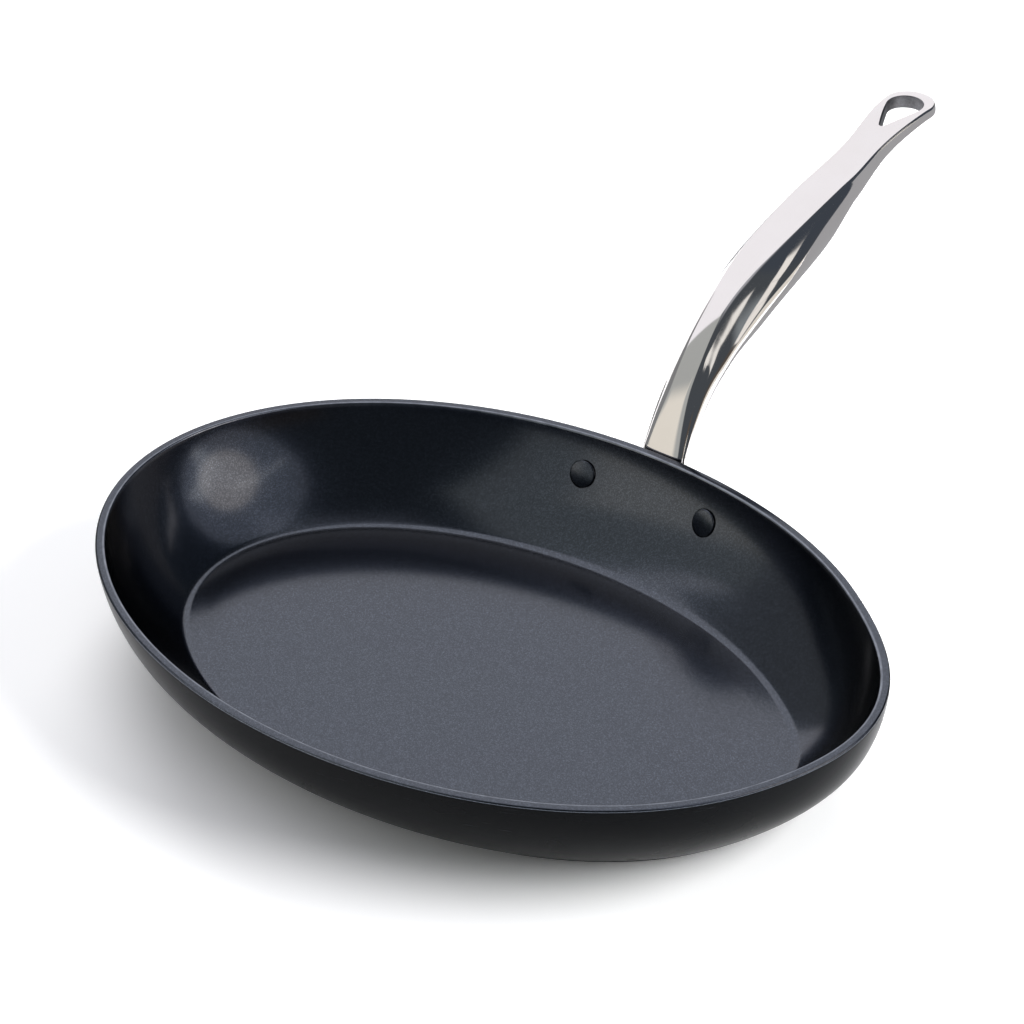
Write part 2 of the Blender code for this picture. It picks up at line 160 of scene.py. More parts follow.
# Facets, fine enough that the polished and coated surfaces reflect smoothly
OVAL_SEGMENTS = 336
FILLET_STEPS = 12
DOME_STEPS = 10
WALL_STEPS = 48
LIP_STEPS = 5
RIVET_SEGMENTS = 64
HEAD_EDGE_STEPS = 6
HEAD_DOME_STEPS = 12
PAD_SEGMENTS = 168
PAD_EDGE_STEPS = 6
NECK_STEPS = 16
BEND_STEPS = 12
CURVE_STEPS = 60
LOOP_STEPS = 36
HOLE_ROUND_STEPS = 72
HOLE_POINT_STEPS = 20
TOP_STEPS = 10
EDGE_STEPS = 6
FLANK_STEPS = 18
UNDER_STEPS = 22
SHARP_ANGLE = math.radians(35.0)


def linear(code):
    """Linear RGBA of an sRGB hex colour such as #1a2b3c."""
    channels = [int(code[i:i + 2], 16) / 255.0 for i in (1, 3, 5)]
    return (*[c / 12.92 if c <= 0.04045 else ((c + 0.055) / 1.055) ** 2.4 for c in channels], 1.0)


def length(label, description, default):
    """A sidebar size in mm."""
    return FloatProperty(name=label, description=description, unit="LENGTH", default=default * MM)


def tint(label, description, code):
    """A sidebar colour."""
    return FloatVectorProperty(
        name=label, description=description, subtype="COLOR", size=3, min=0.0, max=1.0,
        default=linear(code)[:3],
    )


class BowlSettings(PropertyGroup):
    rim_length: length("Rim length", "Length of the rim without the pouring end", 360.0)
    rim_width: length("Rim width", "Width of the rim", 250.0)
    rim_height: length("Rim height", "Height of the rim above the table", 48.8)
    lip_width: length("Lip width", "Width of the flat lip", 4.3)
    floor_height: length("Floor height", "Height of the floor above the table", 4.0)
    floor_inset: length("Floor inset", "From the rim to the edge of the flat floor", 37.2)
    pour_reach: length("Pouring reach", "How far the pouring end is drawn out", 4.53)
    coat_colour: tint("Coating colour", "Dark pigment of the non-stick coating", "#2a313c")
    fleck_colour: tint("Fleck colour", "Mica flecks in the coating", "#4f5662")
    # The lip's inner edge is drawn in a lighter colour: a painted highlight
    lip_highlight_colour: tint("Lip highlight colour", "Painted highlight on the lip's inner edge", "#8d929b")
    lacquer_colour: tint("Lacquer colour", "Black lacquer on the outside", "#07090c")
    fleck_spacing: length("Fleck spacing", "Distance between mica flecks", 0.36)


class RivetSettings(PropertyGroup):
    spacing: length("Rivet spacing", "Distance between the rivets", 64.8)
    drop: length("Rivet drop", "From the rim down to the rivets", 16.3)
    head_radius: length("Head radius", "Radius of the rivet heads", 6.0)


class GripSettings(PropertyGroup):
    reach: length("Handle reach", "From the rim to the centre of the loop", 188.2)
    edge_softness: length("Edge softness", "Roundness of the top face's edges", 0.9)
    hole_radius: length("Hole radius", "Radius of the hanging hole's round end", 8.2)
    hole_length: length("Hole length", "From the hole's round centre to its point", 19.0)
    cast_grain: length("Cast grain", "Grain of the casting inside the hole", 1.2)
    steel_colour: tint("Steel colour", "Colour of the polished casting", "#dedbda")


class StageSettings(PropertyGroup):
    camera_place: FloatVectorProperty(
        name="Camera place", description="Where the camera stands",
        subtype="TRANSLATION", size=3, default=(0.88141, -1.04622, 1.00991),
    )
    camera_target: FloatVectorProperty(
        name="Camera target", description="The point that the camera looks at",
        subtype="TRANSLATION", size=3, default=(0.01722, 0.00287, 0.09220),
    )
    camera_roll: FloatProperty(
        name="Camera roll", description="Turn of the camera about its own axis",
        subtype="ANGLE", default=math.radians(-2.075),
    )
    focal_length: FloatProperty(
        name="Focal length", description="Focal length in mm on a 36 mm sensor",
        min=20.0, max=400.0, default=143.49,
    )


def node(tree, kind, values=None):
    """Add a node; a value is one of its attributes, an input's value, or the
    output that feeds the input."""
    made = tree.nodes.new(kind)
    for key, value in (values or {}).items():
        if isinstance(value, bpy.types.NodeSocket):
            tree.links.new(value, made.inputs[key])
        elif isinstance(key, str) and hasattr(made, key):
            setattr(made, key, value)
        else:
            made.inputs[key].default_value = value
    return made


def maths(tree, operation, first, second):
    """Two values, outputs or numbers, worked into one."""
    values = {"operation": operation, 0: first, 1: second}
    return node(tree, "ShaderNodeMath", values).outputs[0]


def ranged(tree, value, low, high):
    """A value from 0 to 1 turned into one from low to high."""
    values = {"To Min": low, "To Max": high, "Value": value}
    return node(tree, "ShaderNodeMapRange", values).outputs[0]


def blend(tree, share, low, high):
    """Colour part of the way between two, each an RGB colour or an output."""
    values = {"data_type": "RGBA", 0: share}
    for socket, colour in ((6, low), (7, high)):
        fixed = not isinstance(colour, bpy.types.NodeSocket)
        values[socket] = (*colour[:3], 1.0) if fixed else colour
    return node(tree, "ShaderNodeMix", values).outputs[2]


def noise(tree, place, size, settings=None):
    """Noise over a place, with patches of a size in metres."""
    values = {"Scale": 1.0 / size, "Vector": place, **(settings or {})}
    return node(tree, "ShaderNodeTexNoise", values).outputs["Fac"]


def heading(angle):
    """Unit vector in a plane at an angle."""
    return Vector((math.cos(angle), math.sin(angle)))


def arc(centre, radius, start, end, steps):
    """Points on a circular arc, both ends included."""
    points = []
    for i in range(steps + 1):
        angle = start + (end - start) * i / steps
        points.append((centre[0] + radius * math.cos(angle), centre[1] + radius * math.sin(angle)))
    return points


def tube(name, rings, material, seam=False):
    """Object from rings of points joined with quads, its ends closed by faces;
    with a seam, the halves of the last ring meet and are welded instead."""
    bm = bmesh.new()
    loops = [[bm.verts.new(point) for point in ring] for ring in rings]
    count = len(loops[0])
    for lower, upper in zip(loops, loops[1:]):
        for i in range(count):
            j = (i + 1) % count
            bm.faces.new((lower[i], lower[j], upper[j], upper[i]))
    bm.faces.new(loops[0])
    if seam:
        bmesh.ops.remove_doubles(bm, verts=loops[-1], dist=WELD_DISTANCE)
    else:
        bm.faces.new(loops[-1])
    bmesh.ops.recalc_face_normals(bm, faces=bm.faces)
    mesh = bpy.data.meshes.new(name)
    bm.to_mesh(mesh)
    bm.free()
    mesh.materials.append(material)
    obj = bpy.data.objects.new(name, mesh)
    bpy.context.scene.collection.objects.link(obj)
    return obj


def combine(obj, other, operation):
    """Join another object to this one, or cut it out, and drop the other."""
    step = obj.modifiers.new(name=operation.lower(), type="BOOLEAN")
    step.operation = operation
    step.solver = "EXACT"
    step.material_mode = "TRANSFER"
    step.object = other
    graph = bpy.context.evaluated_depsgraph_get()
    mesh = bpy.data.meshes.new_from_object(
        obj.evaluated_get(graph), preserve_all_data_layers=True, depsgraph=graph,
    )
    obj.modifiers.clear()
    obj.data = mesh
    bpy.data.objects.remove(other, do_unlink=True)


def settle(obj, cad_node):
    """Shade a piece smooth with sharp corners and let it stand for its CAD node."""
    obj.data.shade_smooth()
    obj.data.set_sharp_from_angle(angle=SHARP_ANGLE)
    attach(obj, "root")
    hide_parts(cad_node)


class Plan:
    """Outlines and places of the pan's pieces, from the sidebar's sizes."""

    def __init__(self, scene):
        self.bowl = scene.pan_bowl
        self.rivets = scene.pan_rivets
        self.grip = scene.pan_grip
        self.semi_x = 0.5 * self.bowl.rim_length
        self.semi_y = 0.5 * self.bowl.rim_width
        self.height = self.bowl.rim_height
        self.outer = sorted((level, inset) for inset, level in self.outer_wall())
        self.inner = sorted((level, inset) for inset, level in self.inner_wall()[DOME_STEPS:])
        self.neck_start = self.height - NECK_START_DROP
        self.neck_bend = self.height - NECK_BEND_DROP
        self.loop_centre = self.semi_y + self.grip.reach
        self.stack = self.stack_length()
        self.seat_radius = self.rivets.head_radius + CLEARANCE

    def outer_wall(self):
        """Outer wall as (inset, height) pairs, from the rim down to the foot."""
        top = Vector((0.0, self.height - LIP_EDGE_RADIUS))
        foot = Vector((FOOT_INSET, FOOT_HEIGHT))
        leave = top + WALL_TOP_REACH * heading(-WALL_TOP_ANGLE)
        arrive = foot - WALL_FOOT_REACH * heading(-WALL_FOOT_ANGLE)
        curve = interpolate_bezier(top, leave, arrive, foot, WALL_STEPS)
        return [tuple(point.to_2d()) for point in curve]

    def inner_wall(self):
        """Domed floor, fillet and wall arc as (inset, height) pairs, outwards."""
        inset, floor = self.bowl.floor_inset, self.bowl.floor_height
        dome = []
        for i in range(1, DOME_STEPS):
            out = i / DOME_STEPS
            away = self.semi_y - (self.semi_y - inset) * out
            dome.append((away, floor + FLOOR_DOME * (1.0 - out ** 3)))
        centre = (inset, floor + FILLET_RADIUS)
        turn = -QUARTER_TURN - FILLET_TURN
        fillet = arc(centre, FILLET_RADIUS, -QUARTER_TURN, turn, FILLET_STEPS)
        start_inset, start_height = fillet[-1]
        rise = self.height - LIP_EDGE_RADIUS - start_height
        run = start_inset - self.bowl.lip_width
        top_angle = 2.0 * math.atan2(rise, run) - FILLET_TURN
        radius = 0.5 * math.hypot(rise, run) / math.sin(0.5 * (top_angle - FILLET_TURN))
        centre = (
            start_inset + radius * math.sin(FILLET_TURN),
            start_height + radius * math.cos(FILLET_TURN),
        )
        wall = arc(centre, radius, turn, -QUARTER_TURN - top_angle, WALL_STEPS)
        return dome + fillet + wall[1:]

    def pour_bulge(self, angle, height):
        """Outward reach of the pouring end at one place on the oval."""
        away = (angle - POUR_CENTRE + HALF_TURN) % TURN - HALF_TURN
        if abs(away) >= POUR_SPREAD or height <= 0.0:
            return 0.0
        fade = math.sin(QUARTER_TURN * min(1.0, height / (POUR_FADE * self.height)))
        return self.bowl.pour_reach * fade * math.cos(QUARTER_TURN * away / POUR_SPREAD) ** 2

    def oval_ring(self, inset, height):
        """Closed ring of points on the bowl's oval, a distance inside the rim line."""
        semi_x = self.semi_x - inset
        semi_y = self.semi_y - inset
        ring = []
        for i in range(OVAL_SEGMENTS):
            angle = TURN * i / OVAL_SEGMENTS
            outward = Vector((math.cos(angle) / semi_x, math.sin(angle) / semi_y)).normalized()
            bulge = self.pour_bulge(angle, height) * outward
            x = semi_x * math.cos(angle) + bulge.x
            y = semi_y * math.sin(angle) + bulge.y
            ring.append((x, y, height))
        return ring

    def oval_y(self, x, inset):
        """Y of the oval on the handle side at a given X."""
        return (self.semi_y - inset) * math.sin(math.acos(x / (self.semi_x - inset)))

    def wall_y(self, x, height):
        """Y of the outer wall on the handle side at a given X and height."""
        return self.oval_y(x, float(np.interp(height, *zip(*self.outer))))

    def rivet_frame(self, side):
        """Matrix whose Z axis runs out along a rivet, origin on the inner wall."""
        height = self.height - self.rivets.drop
        inset = float(np.interp(height, *zip(*self.inner)))
        x = side * 0.5 * self.rivets.spacing
        y = self.oval_y(x, inset)
        semi_x = self.semi_x - inset
        semi_y = self.semi_y - inset
        outward = Vector((x / semi_x ** 2, y / semi_y ** 2, 0.0)).normalized()
        axis = outward * math.cos(RIVET_TILT) - Vector((0.0, 0.0, math.sin(RIVET_TILT)))
        turn = axis.to_track_quat("Z", "Y").to_matrix().to_4x4()
        return Matrix.Translation((x, y, height)) @ turn

    def stack_length(self):
        """Distance along a rivet from the inner wall to the bracket's face."""
        place = self.rivet_frame(1.0)
        step = place.to_3x3() @ Vector((0.0, 0.0, STACK_STEP))
        point = place.translation.copy()
        while point.y < self.wall_y(point.x, point.z) + CLEARANCE + PAD_THICKNESS:
            point += step
        return (point - place.translation).length

    def turned(self, profile, side):
        """Rings of a shape turned about a rivet, from (radius, distance) pairs."""
        place = self.rivet_frame(side)
        rings = []
        for radius, distance in profile:
            circle = arc((0.0, 0.0), radius, 0.0, TURN, RIVET_SEGMENTS)[:-1]
            rings.append([place @ Vector((x, y, distance)) for x, y in circle])
        return rings

    def spine_point(self, share, rise):
        """Place on the handle line in the YZ plane."""
        return Vector((self.semi_y + share * self.grip.reach, self.height + rise * MM))

    def spine(self):
        """Handle line in the YZ plane, from the bracket to the loop's centre."""
        points = []
        for i in range(NECK_STEPS + 1):
            height = self.neck_start + (self.neck_bend - self.neck_start) * i / NECK_STEPS
            points.append(Vector((self.wall_y(0.0, height) + NECK_GAP, height)))
        start = points.pop()
        leave = NECK_BEND_REACH * (start - points[-1]).normalized()
        end = self.spine_point(*SPINE[0][0])
        arrive = NECK_BEND_REACH * (self.spine_point(*SPINE[0][1]) - end).normalized()
        curves = [interpolate_bezier(start, start + leave, end - arrive, end, BEND_STEPS)]
        for piece in SPINE:
            knots = [self.spine_point(*knot) for knot in piece]
            curves.append(interpolate_bezier(*knots, CURVE_STEPS))
        for curve in curves:
            points += [point.to_2d() for point in curve[:-1]]
        return points + [curves[-1][-1].to_2d()]

    def section_at(self, point):
        """Sizes of the handle's section at a point of its line, for half_section."""
        place = min(max((point.x - self.semi_y) / self.grip.reach, 0.0), 1.0)
        last = len(SECTIONS) - 1
        k = min(bisect.bisect([section[0] for section in SECTIONS], place), last)
        stations = [SECTIONS[min(max(n, 0), last)] for n in (k - 2, k - 1, k, k + 1)]
        share = (place - stations[1][0]) / (stations[2][0] - stations[1][0])
        units = (MM, MM, MM, math.radians(1.0))
        sizes = []
        for i, unit in enumerate(units):
            values = [(section[0], section[i + 1]) for section in stations]
            sizes.append(unit * smooth_between(values, share))
        near = max(1.0 - place / NECK_SOFT_SHARE, 0.0)
        eased = near * near * (3.0 - 2.0 * near)
        sizes.append(self.grip.edge_softness + NECK_SOFTNESS * eased)
        sizes.append(SIDE_REACH + NECK_UPRIGHT * eased)
        below = (self.neck_bend - point.y) / (self.neck_bend - self.neck_start)
        if below > 0.0:
            sizes[0] += NECK_FLARE * below * below
            sizes[1] += NECK_FLARE * below * below
            rib = NECK_RIB_DEPTH * math.sin(HALF_TURN * below)
            sizes[2] += (NECK_START_DEPTH - sizes[2]) * below + rib
        return sizes

    def half_section(self, face, widest, depth, fall, softness, upright):
        """Right half of a section as (X, depth) points, top centre to bottom."""
        crease = Vector((face, TOP_CROWN * face))
        side = Vector((widest, WIDEST_DEPTH * depth))
        bottom = Vector((0.0, depth))
        span = (side - crease).length
        reach = FLANK_REACH * span
        soft = min(softness, FLANK_SOFT_SHARE * reach)
        lean = heading(fall)
        last = 1.0 - min(softness / face, TOP_SOFT_SHARE)
        top = []
        for i in range(TOP_STEPS + 1):
            share = last * i / TOP_STEPS
            top.append(Vector((face * share, crease.y * share * share)))
        leave = crease + soft * lean
        third = 2.0 / 3.0
        edge = interpolate_bezier(
            top[-1], top[-1].lerp(crease, third), leave.lerp(crease, third), leave, EDGE_STEPS,
        )
        above = side - Vector((0.0, upright * span))
        flank = interpolate_bezier(leave, leave + (reach - soft) * lean, above, side, FLANK_STEPS)
        drop = Vector((0.0, UNDERSIDE_DROP * (depth - side.y)))
        fullness = Vector((UNDERSIDE_FULLNESS * widest, 0.0))
        under = interpolate_bezier(side, side + drop, bottom + fullness, bottom, UNDER_STEPS)
        return [point.to_2d() for point in top + edge[1:] + flank[1:] + under[1:]]

    def grip_rings(self):
        """Sections of neck and grip, then of the loop's round end."""
        points = self.spine()
        rings = []
        for i, point in enumerate(points[:-1]):
            tangent = (points[i + 1] - points[max(i - 1, 0)]).normalized()
            half = self.half_section(*self.section_at(point))
            rings.append(section_ring(point, tangent, half, 0.0, 0.0))
        centre = points[-1]
        tangent = (centre - points[-2]).normalized()
        sizes = self.section_at(centre)
        half = self.half_section(*sizes)
        forward = LOOP_ROUNDING * sizes[0] / sizes[1]
        for i in range(LOOP_STEPS + 1):
            angle = QUARTER_TURN * i / LOOP_STEPS
            rings.append(section_ring(centre, tangent, half, angle, forward))
        return rings

    def pad_ring(self, scale, inset, lift):
        """Ring on the bracket plate, scaled and inset, lifted off its back."""
        power = 2.0 / PAD_SQUARENESS
        half_length = 0.5 * self.rivets.spacing + PAD_END
        ring = []
        for i in range(PAD_SEGMENTS):
            angle = TURN * i / PAD_SEGMENTS
            across = math.copysign(abs(math.cos(angle)) ** power, math.cos(angle))
            upward = math.copysign(abs(math.sin(angle)) ** power, math.sin(angle))
            x = across * (scale * half_length - inset)
            height = self.height - PAD_DROP + upward * (scale * PAD_HALF_HEIGHT - inset)
            ring.append((x, self.wall_y(x, height) + CLEARANCE + lift, height))
        return ring

    def hole_outline(self, grow):
        """Teardrop outline in (X, Y): a round end and a small pointed end."""
        round_end = (0.0, self.loop_centre - HOLE_SETBACK)
        point_end = (0.0, round_end[1] - self.grip.hole_length + HOLE_POINT_RADIUS)
        between = round_end[1] - point_end[1]
        lean = math.asin((self.grip.hole_radius - HOLE_POINT_RADIUS) / between)
        far = HALF_TURN + lean
        points = arc(round_end, self.grip.hole_radius + grow, -lean, far, HOLE_ROUND_STEPS)
        points += arc(point_end, HOLE_POINT_RADIUS + grow, far, TURN - lean, HOLE_POINT_STEPS)
        return points

    def hole_rings(self):
        """Teardrop prism through the loop, flared where it meets both faces."""
        depth = MM * SECTIONS[-1][3]
        flare = HOLE_CHAMFER + CUT_OVERSHOOT
        levels = (
            (flare, CUT_OVERSHOOT),
            (0.0, -HOLE_CHAMFER),
            (0.0, HOLE_CHAMFER - depth),
            (flare, -depth - CUT_OVERSHOOT),
        )
        line = [point for point in self.spine() if point.x > self.semi_y]
        line.append(line[-1] + (line[-1] - line[-2]).normalized() * 2.0 * self.grip.hole_radius)
        places = [point.x for point in line]
        heights = [point.y for point in line]
        rings = []
        for grow, lift in levels:
            ring = []
            for x, y in self.hole_outline(grow):
                ring.append((x, y, np.interp(y, places, heights) + lift))
            rings.append(ring)
        return rings


def smooth_between(stations, share):
    """Value of a smooth curve between the middle two of four (place, value) stations."""
    before, start, end, after = stations
    span = end[0] - start[0]
    slope_in = (end[1] - before[1]) / (end[0] - before[0]) * span
    slope_out = (after[1] - start[1]) / (after[0] - start[0]) * span
    leave = start[1] + slope_in / 3.0
    arrive = end[1] - slope_out / 3.0
    rest = 1.0 - share
    middle = 3.0 * rest * share * (rest * leave + share * arrive)
    return rest ** 3 * start[1] + middle + share ** 3 * end[1]


def section_ring(point, tangent, half, turn, forward):
    """Closed ring of a half section and its mirror image, turned about the section's middle."""
    normal = Vector((0.0, -tangent.y, tangent.x))
    ahead = Vector((0.0, tangent.x, tangent.y)) * forward * math.sin(turn)
    centre = Vector((0.0, point.x, point.y))
    side = Vector((math.cos(turn), 0.0, 0.0))
    right = [centre + p.x * (ahead + side) - normal * p.y for p in half]
    left = [centre + p.x * (ahead - side) - normal * p.y for p in half[1:-1]]
    return right + left[::-1]


def cut_for_rivets(obj, plan, profile, material):
    """Cut the room for both rivets, from (radius, distance) pairs, out of a piece."""
    for side in (-1.0, 1.0):
        combine(obj, tube("pin", plan.turned(profile, side), material), "DIFFERENCE")


def build_bowl(plan, coating, lacquer):
    """Bowl with floor, wall, lip, foot, rivet seats and the recess for the plate."""
    lip_inner = (plan.bowl.lip_width - LIP_EDGE_RADIUS, plan.height - LIP_EDGE_RADIUS)
    lip_outer = (LIP_EDGE_RADIUS, plan.height - LIP_EDGE_RADIUS)
    recess_inset = PLATE_INSET - CLEARANCE
    profile = plan.inner_wall()
    # Rings along the lip's inner edge, which get the painted highlight
    highlit = range(len(profile) - 1, len(profile) + LIP_STEPS)
    profile += arc(lip_inner, LIP_EDGE_RADIUS, 0.0, QUARTER_TURN, LIP_STEPS)[1:]
    profile.append((lip_inner[0] - HIGHLIGHT_FADE_WIDTH, plan.height))
    profile += arc(lip_outer, LIP_EDGE_RADIUS, QUARTER_TURN, HALF_TURN, LIP_STEPS)
    inside = len(profile)
    profile += plan.outer_wall()[1:]
    profile += [
        (FOOT_INSET, UNDERSIDE_HEIGHT + FOOT_CHAMFER),
        (FOOT_INSET + FOOT_CHAMFER, UNDERSIDE_HEIGHT),
        (recess_inset, UNDERSIDE_HEIGHT),
        (recess_inset, PLATE_THICKNESS + CLEARANCE),
    ]
    rings = [plan.oval_ring(inset, height) for inset, height in profile]
    bowl = tube("coated_bowl", rings, coating)
    # Share of the painted highlight at each point
    highlight_attribute = bowl.data.attributes.new("lip_highlight_share", "FLOAT", "POINT")
    shares = [float(k in highlit) for k in range(len(rings)) for _ in range(OVAL_SEGMENTS)]
    highlight_attribute.data.foreach_set("value", shares)
    bowl.data.materials.append(lacquer)
    outside = slice((inside - 1) * OVAL_SEGMENTS, (len(rings) - 1) * OVAL_SEGMENTS)
    for face in bowl.data.polygons[outside]:
        face.material_index = 1
    seat = plan.seat_radius
    cut_for_rivets(bowl, plan, (
        (seat, -CUT_OVERSHOOT), (seat, SEAT_SINK),
        (BORE_RADIUS, SEAT_SINK), (BORE_RADIUS, plan.stack),
    ), coating)
    settle(bowl, "pan_body")


def build_plate(plan, steel):
    """Oval steel plate that sits in the recess under the floor."""
    rings = [
        plan.oval_ring(PLATE_INSET + PLATE_CHAMFER, 0.0),
        plan.oval_ring(PLATE_INSET, PLATE_CHAMFER),
        plan.oval_ring(PLATE_INSET, PLATE_THICKNESS - PLATE_CHAMFER),
        plan.oval_ring(PLATE_INSET + PLATE_CHAMFER, PLATE_THICKNESS),
    ]
    settle(tube("base_plate", rings, steel), "induction_base")


def build_handle(plan, polished, rough):
    """Grip and bracket as one casting, with the hanging hole and rivet holes."""
    handle = tube("cast_handle", plan.grip_rings(), polished, seam=True)
    rings = [plan.pad_ring(scale, 0.0, 0.0) for scale in (*PAD_SCALES, 1.0)]
    edge_centre = (PAD_EDGE_RADIUS, PAD_THICKNESS - PAD_EDGE_RADIUS)
    edge = arc(edge_centre, PAD_EDGE_RADIUS, HALF_TURN, QUARTER_TURN, PAD_EDGE_STEPS)
    rings += [plan.pad_ring(1.0, *step) for step in edge]
    rings += [plan.pad_ring(scale, 0.0, PAD_THICKNESS) for scale in reversed(PAD_SCALES)]
    combine(handle, tube("bracket", rings, polished), "UNION")
    combine(handle, tube("hanging_hole", plan.hole_rings(), rough), "DIFFERENCE")
    seat, face = plan.seat_radius, plan.stack - SEAT_SINK
    cut_for_rivets(handle, plan, (
        (BORE_RADIUS, 0.0), (BORE_RADIUS, face),
        (seat, face), (seat, plan.stack + CUT_OVERSHOOT),
    ), polished)
    settle(handle, "handle")


def build_rivet(plan, name, side, coating):
    """Flat inner head, shank and domed outer head in one turned piece."""
    head = plan.rivets.head_radius
    inner = SEAT_SINK - CLEARANCE
    outer = plan.stack - SEAT_SINK + CLEARANCE
    head_edge = (head - HEAD_EDGE_RADIUS, HEAD_EDGE_RADIUS - INNER_HEAD_RISE)
    profile = arc(head_edge, HEAD_EDGE_RADIUS, -QUARTER_TURN, 0.0, HEAD_EDGE_STEPS)
    profile += [(head, inner), (SHANK_RADIUS, inner), (SHANK_RADIUS, outer), (head, outer)]
    for radius, rise in arc((0.0, 0.0), head, 0.0, QUARTER_TURN, HEAD_DOME_STEPS)[1:-1]:
        profile.append((radius, outer + OUTER_HEAD_RISE * rise / head))
    settle(tube("coated_" + name, plan.turned(profile, side), coating), name)


def new_material(name):
    """An empty node material and its tree."""
    material = bpy.data.materials.new(name)
    material.use_nodes = True
    material.node_tree.nodes.clear()
    return material, material.node_tree


def object_place(tree):
    """Place on the object, in metres, that patterns follow."""
    return node(tree, "ShaderNodeTexCoord").outputs["Object"]


def surface(tree, shader):
    """Make a shader the one that the material shows."""
    node(tree, "ShaderNodeOutputMaterial", {"Surface": shader.outputs[0]})


FLECK_RARITY = 3.0
# Patches that break up the painted highlight on the lip's edge
HIGHLIGHT_PATCH = 6.0 * MM


def ceramic_coating(bowl):
    """Sprayed ceramic non-stick coating over cast aluminium: mica flakes in a
    dark blue-grey base under a clear top coat, so a soft speckled glow lies
    below sharper reflections. The flakes are drawn coarser than the real ones,
    which are too fine to show."""
    material, tree = new_material("sprayed_ceramic_non_stick")
    place = object_place(tree)
    density = 1.0 / bowl.fleck_spacing
    flakes = node(tree, "ShaderNodeTexVoronoi", {"Scale": density, "Vector": place})
    tones = node(tree, "ShaderNodeSeparateColor", {"Color": flakes.outputs["Color"]})
    rare = maths(tree, "POWER", tones.outputs["Red"], FLECK_RARITY)
    speckled = blend(tree, rare, bowl.coat_colour, bowl.fleck_colour)
    # Lighter colour on the lip's inner edge, broken into patches: a painted highlight
    edge = node(tree, "ShaderNodeAttribute", {"attribute_name": "lip_highlight_share"}).outputs["Fac"]
    highlit = maths(tree, "MULTIPLY", edge, noise(tree, place, HIGHLIGHT_PATCH))
    surface(tree, node(tree, "ShaderNodeBsdfPrincipled", {
        "Base Color": blend(tree, highlit, speckled, bowl.lip_highlight_colour),
        "Metallic": 1.0, "Roughness": 0.22, "Specular Tint": (0.1, 0.12, 0.16, 1.0),
        "Coat Weight": 1.0, "Coat Roughness": 0.14, "Coat IOR": 1.5,
    }))
    return material


LACQUER_CLOUD = 25.0 * MM
MARK_WIDTH = 1.0 * MM
MARK_STRETCH = (0.06, 0.06, 1.0)


def satin_lacquer(bowl):
    """Black lacquer baked on the outside: even and satin, without flakes. Its
    matting agent takes most of the gloss away, so its IOR is set low."""
    material, tree = new_material("baked_satin_lacquer")
    place = object_place(tree)
    # Hairline marks from the oven rack run round the pan, drawn 1 mm wide,
    # coarser than the real ones
    around = node(tree, "ShaderNodeMapping", {"Scale": MARK_STRETCH, "Vector": place}).outputs[0]
    mark = node(tree, "ShaderNodeMapRange", {
        "From Min": 0.68, "From Max": 0.76, "To Max": 0.5, "Value": noise(tree, around, MARK_WIDTH),
    }).outputs[0]
    surface(tree, node(tree, "ShaderNodeBsdfPrincipled", {
        "Base Color": blend(tree, mark, bowl.lacquer_colour, linear("#2b2e33")),
        "Roughness": ranged(tree, noise(tree, place, LACQUER_CLOUD), 0.21, 0.31),
        "IOR": 1.14,
    }))
    return material


POLISH_PATCH = 18.0 * MM


def polished_steel(grip):
    """Cast stainless steel polished to a mirror: sharp reflections, a little
    softer where the wheel has passed less often."""
    material, tree = new_material("mirror_polished_stainless")
    place = object_place(tree)
    passes = noise(tree, place, POLISH_PATCH)
    surface(tree, node(tree, "ShaderNodeBsdfPrincipled", {
        "Base Color": blend(tree, passes, grip.steel_colour, linear("#d9d5d3")),
        "Metallic": 1.0, "Roughness": ranged(tree, passes, 0.03, 0.08),
    }))
    return material


CAST_RELIEF = 0.15 * MM


def rough_cast_steel(grip):
    """Stainless steel as cast, inside the hanging hole: dull and grainy."""
    material, tree = new_material("as_cast_stainless")
    place = object_place(tree)
    grain = noise(tree, place, grip.cast_grain, {"Detail": 4.0, "Roughness": 0.65})
    relief = {"Strength": 0.6, "Distance": CAST_RELIEF, "Height": grain}
    bump = node(tree, "ShaderNodeBump", relief)
    surface(tree, node(tree, "ShaderNodeBsdfPrincipled", {
        "Base Color": blend(tree, grain, linear("#4c4c50"), linear("#98989b")),
        "Metallic": 1.0, "Roughness": 0.5, "Normal": bump.outputs[0],
    }))
    return material


BRUSH_WIDTH = 0.4 * MM
BRUSH_RELIEF = 0.05 * MM
BRUSH_STRETCH = (0.02, 1.0, 1.0)


def brushed_steel():
    """Stainless sheet brushed along the pan: long fine lines that spread
    reflections across them. Drawn 0.4 mm wide, coarser than the real ones."""
    material, tree = new_material("brushed_stainless_sheet")
    place = object_place(tree)
    along = node(tree, "ShaderNodeMapping", {"Scale": BRUSH_STRETCH, "Vector": place}).outputs[0]
    lines = noise(tree, along, BRUSH_WIDTH, {"Detail": 3.0})
    relief = {"Strength": 0.3, "Distance": BRUSH_RELIEF, "Height": lines}
    bump = node(tree, "ShaderNodeBump", relief)
    surface(tree, node(tree, "ShaderNodeBsdfPrincipled", {
        "Base Color": blend(tree, lines, linear("#a9a8a8"), linear("#d3d1d0")),
        "Metallic": 1.0, "Roughness": ranged(tree, lines, 0.22, 0.42), "Normal": bump.outputs[0],
    }))
    return material


WHITE = (1.0, 1.0, 1.0)
ROOM_LIGHT = (0.075, 0.085, 0.097)
# Height on the unit sky below which the white under the horizon is whole
HORIZON = -0.02

